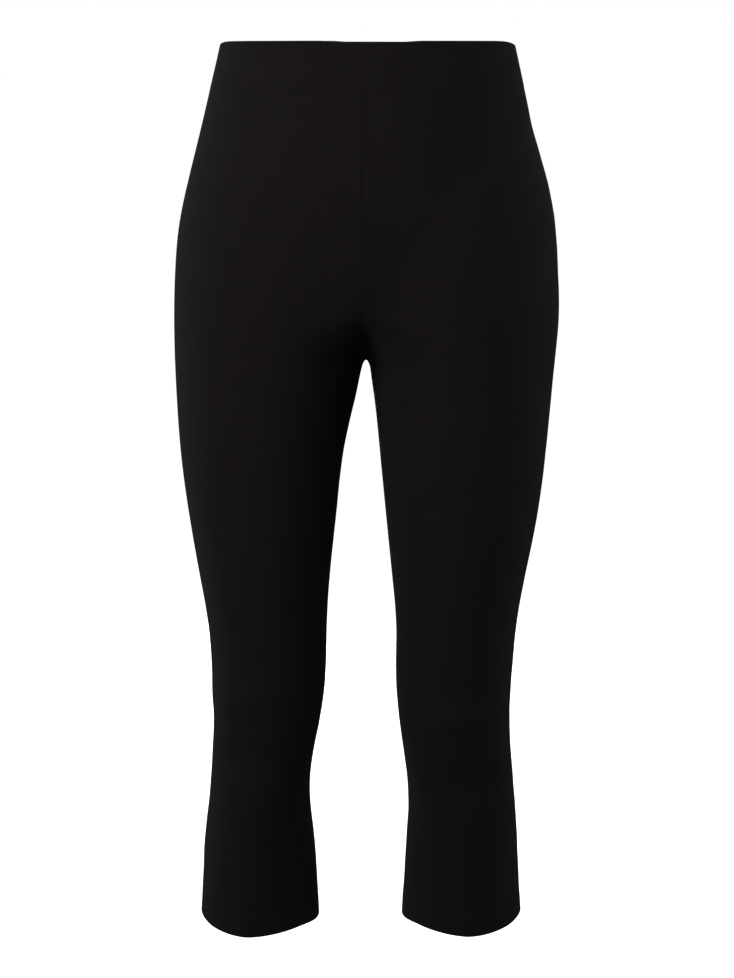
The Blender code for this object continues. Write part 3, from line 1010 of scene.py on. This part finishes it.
def knit_pattern(tree):
    """Height of the knit, from 0 between the wales to 1 on top of a loop."""
    cut = add_node(tree, "ShaderNodeUVMap", uv_map="cut")
    flat = add_node(tree, "ShaderNodeSeparateXYZ", {"Vector": cut})
    number = "ShaderNodeMath"
    wales = add_node(tree, number, {0: flat.outputs["X"], 1: WALE}, operation="DIVIDE")
    courses = add_node(tree, number, {0: flat.outputs["Y"], 1: COURSE}, operation="DIVIDE")
    turn = add_node(tree, number, {0: wales, 1: math.pi}, operation="MULTIPLY")
    wave = add_node(tree, number, {0: turn}, operation="SINE")
    rib = add_node(tree, number, {0: wave}, operation="ABSOLUTE")
    slant = add_node(tree, number, {0: wales, 1: 0.5}, operation="PINGPONG")
    leaning = add_node(tree, number, {0: courses, 1: slant}, operation="ADD")
    loop_turn = add_node(tree, number, {0: leaning, 1: math.tau}, operation="MULTIPLY")
    loop = add_node(tree, number, {0: loop_turn}, operation="SINE")
    shares = {0: loop, 1: LOOP_SHARE, 2: 1 - LOOP_SHARE}
    strand = add_node(tree, number, shares, operation="MULTIPLY_ADD")
    return add_node(tree, number, {0: rib, 1: strand}, operation="MULTIPLY")


print(f"{0.01 / WALE:.0f} wales to the centimetre")

# %% Black double-knit jersey
DYE_PATCH = 32 * MM
FUZZ = 0.5 * MM
# how far painted shade darkens the colour between the wales
KNIT_SHADE = 0.5
KNIT_DEPTH = 0.2 * MM


def jersey(name, dark, light):
    """Dyed double-knit jersey: matt, with hardly any shine and a faint sheen."""
    material, tree, shader = new_material(name)
    knit = knit_pattern(tree)
    place = add_node(tree, "ShaderNodeTexCoord").outputs["Object"]
    fine = {"Vector": place, "Scale": 1 / FUZZ, "Detail": 3.0}
    fuzz = add_node(tree, "ShaderNodeTexNoise", fine)
    broad = {"Vector": place, "Scale": 1 / DYE_PATCH, "Detail": 4.0}
    dye = add_node(tree, "ShaderNodeTexNoise", broad)

    # Painted shade: the colour darkens between the wales, and the dye's large noise varies it at
    # random.
    shares = {0: knit, 1: KNIT_SHADE, 2: 1 - KNIT_SHADE}
    painted_knit_shade = add_node(tree, "ShaderNodeMath", shares, operation="MULTIPLY_ADD")
    dye_and_painted_shade = add_node(tree, "ShaderNodeMath", {0: dye, 1: painted_knit_shade}, operation="MULTIPLY")
    colours = {"Factor": dye_and_painted_shade, "A": linear(dark), "B": linear(light)}
    tone = add_node(tree, "ShaderNodeMix", colours, data_type="RGBA")
    height = add_node(tree, "ShaderNodeMath", {0: knit, 1: fuzz}, operation="ADD")
    relief = {"Height": height, "Strength": 0.5, "Distance": KNIT_DEPTH}
    surface = {
        "Base Color": tone.outputs["Result"],
        "Normal": add_node(tree, "ShaderNodeBump", relief),
        "Roughness": 0.8,
        "Specular IOR Level": 0.15,
        "Sheen Weight": 0.03,
        "Sheen Roughness": 0.5,
    }
    set_inputs(tree, shader, surface)
    return material


leg_black = jersey("black double-knit jersey", "#161017", "#1b141c")
# The band's copy is a hair lighter than the legs': painted light on the band, not a different dye.
band_black_painted_lighter = jersey("black double-knit jersey, folded, painted lighter", "#161017", "#1c151d")
for panel in panels.values():
    panel.data.materials.append(leg_black)
for band in bands.values():
    band.data.materials.append(band_black_painted_lighter)

# %% [markdown]
# ## Material of the thread
#
# Sewing and overlock thread is spun polyester, dyed to match. It is smoother than the cloth, so it
# catches a little more light along each stitch. A fine noise stands for its twisted plies.

# %% Black spun polyester thread
PLY_DEPTH = 0.05 * MM

thread_black, thread_tree, thread_shader = new_material("black spun polyester thread")
thread_place = add_node(thread_tree, "ShaderNodeTexCoord").outputs["Object"]
ply_noise = {"Vector": thread_place, "Scale": 1 / FUZZ, "Detail": 2.0}
plies = add_node(thread_tree, "ShaderNodeTexNoise", ply_noise)
ply_colours = {"Factor": plies, "A": linear("#131014"), "B": linear("#1b161c")}
thread_tone = add_node(thread_tree, "ShaderNodeMix", ply_colours, data_type="RGBA")
ply_relief = {"Height": plies, "Strength": 0.3, "Distance": PLY_DEPTH}
thread_surface = {
    "Base Color": thread_tone.outputs["Result"],
    "Normal": add_node(thread_tree, "ShaderNodeBump", ply_relief),
    "Roughness": 0.7,
    "Specular IOR Level": 0.2,
}
set_inputs(thread_tree, thread_shader, thread_surface)
sewn = list(stitches.values()) + sum(strips.values(), [])
for piece in sewn:
    piece.data.materials.append(thread_black)
print(len(sewn), "pieces of thread or wrapped in it")

# %% [markdown]
# ## The studio floor
#
# The floor is a plain disc where the wearer's feet would stand, large enough that its edge is never
# seen. It glows by itself, so that it is evenly white without lights of its own, and it is set to
# throw no light up at the garment.

# %% Matt white floor
FLOOR = -1.09
FLOOR_RADIUS = 80
WHITE = (1, 1, 1, 1)

bpy.ops.mesh.primitive_circle_add(
    vertices=96, radius=FLOOR_RADIUS, fill_type="NGON", location=(0, 0, FLOOR)
)
floor = bpy.context.object
floor.name = "studio_floor"
floor_paint, floor_tree, floor_shader = new_material("matt white floor paint")
paint_surface = {"Base Color": linear("#f4f4f4"), "Roughness": 0.9}
glow = {"Emission Color": WHITE, "Emission Strength": 1.0}
set_inputs(floor_tree, floor_shader, paint_surface | glow)
floor.data.materials.append(floor_paint)
floor.visible_diffuse = False
floor.visible_glossy = False
print(f"floor {-FLOOR:.2f} m below the waist")

# %% [markdown]
# ## Soft light
#
# Black cloth needs a large soft light from one side, so that its form shows, and weaker ones from
# the other side and from both edges, which draw a thin paler rim round it. The lights behind it
# are narrow or high, because a broad one would shine past the thighs on their inner sides. A weak
# one overhead shows the inside of the waist. All are softboxes, as far from the garment's middle as
# one another.
#
# The surround is white to the camera, but it lights the cloth only faintly.

# %% Softboxes
MIDDLE = np.array((0, 0, -0.38))
LIGHT_DISTANCE = 2.7
SOFTBOXES = (
    # name, azimuth from the front towards the wearer's left, elevation, width, height, watts
    ("key", -40, 28, 1.4, 2.2, 31.5),
    ("key_low", -50, 0, 1.4, 2.2, 6),
    ("fill", 68, 15, 2.0, 3.2, 14),
    ("front", 0, 12, 1.4, 2.2, 5.7),
    ("edge_left", 116, 12, 1.4, 2.2, 7.5),
    ("edge_right", -118, 12, 1.4, 2.2, 8),
    ("back", -172, 12, 0.5, 2.2, 21),
    ("back_high", 180, 45, 1.4, 2.2, 20),
    ("top", 0, 82, 1.4, 1.4, 5),
)
for name, azimuth, elevation, width, height, power in SOFTBOXES:
    turn = math.radians(azimuth)
    lift = math.radians(elevation)
    level = math.cos(lift)
    away = np.array((math.sin(turn) * level, -math.cos(turn) * level, math.sin(lift)))
    bpy.ops.object.light_add(
        type="AREA",
        location=MIDDLE + LIGHT_DISTANCE * away,
        rotation=(math.pi / 2 - lift, 0, turn),
    )
    light = bpy.context.object
    light.name = name
    light.data.shape = "RECTANGLE"
    light.data.size, light.data.size_y = width, height
    light.data.energy = power

# %% Pale surround
SURROUND_LIGHT = 0.03

world = bpy.data.worlds.new("pale surround")
world.use_nodes = True
bpy.context.scene.world = world
world_tree = world.node_tree
surround = world_tree.nodes["Background"]
set_inputs(world_tree, surround, {"Color": WHITE, "Strength": SURROUND_LIGHT})
shown = add_node(world_tree, "ShaderNodeBackground", {"Color": WHITE, "Strength": 1.0})
camera_ray = add_node(world_tree, "ShaderNodeLightPath").outputs["Is Camera Ray"]
choice = add_node(world_tree, "ShaderNodeMixShader", {0: camera_ray, 1: surround, 2: shown})
world_tree.links.new(choice.outputs["Shader"], world_tree.nodes["World Output"].inputs["Surface"])
bpy.context.scene.view_settings.view_transform = "Standard"

# %% [markdown]
# ## The camera
#
# A long lens two and a half metres away, as high as the waistband and a little to the wearer's
# left, looks down at the garment, so that the hems and the top edge show as bows.

# %% Camera
YAW = math.radians(2.5)
PITCH = math.radians(9.04)
DISTANCE = 2.5
CAMERA_ASIDE = 0.2 * MM
CAMERA_HEIGHT = 20 * MM

bpy.ops.object.camera_add(
    location=(DISTANCE * math.sin(YAW) + CAMERA_ASIDE, -DISTANCE * math.cos(YAW), CAMERA_HEIGHT),
    rotation=(math.pi / 2 - PITCH, 0, YAW),
)
camera = bpy.context.object
camera.data.sensor_width = 36
camera.data.lens = 103.7
bpy.context.scene.camera = camera
print(f"camera {DISTANCE} m away with a lens of {camera.data.lens:.1f} mm")
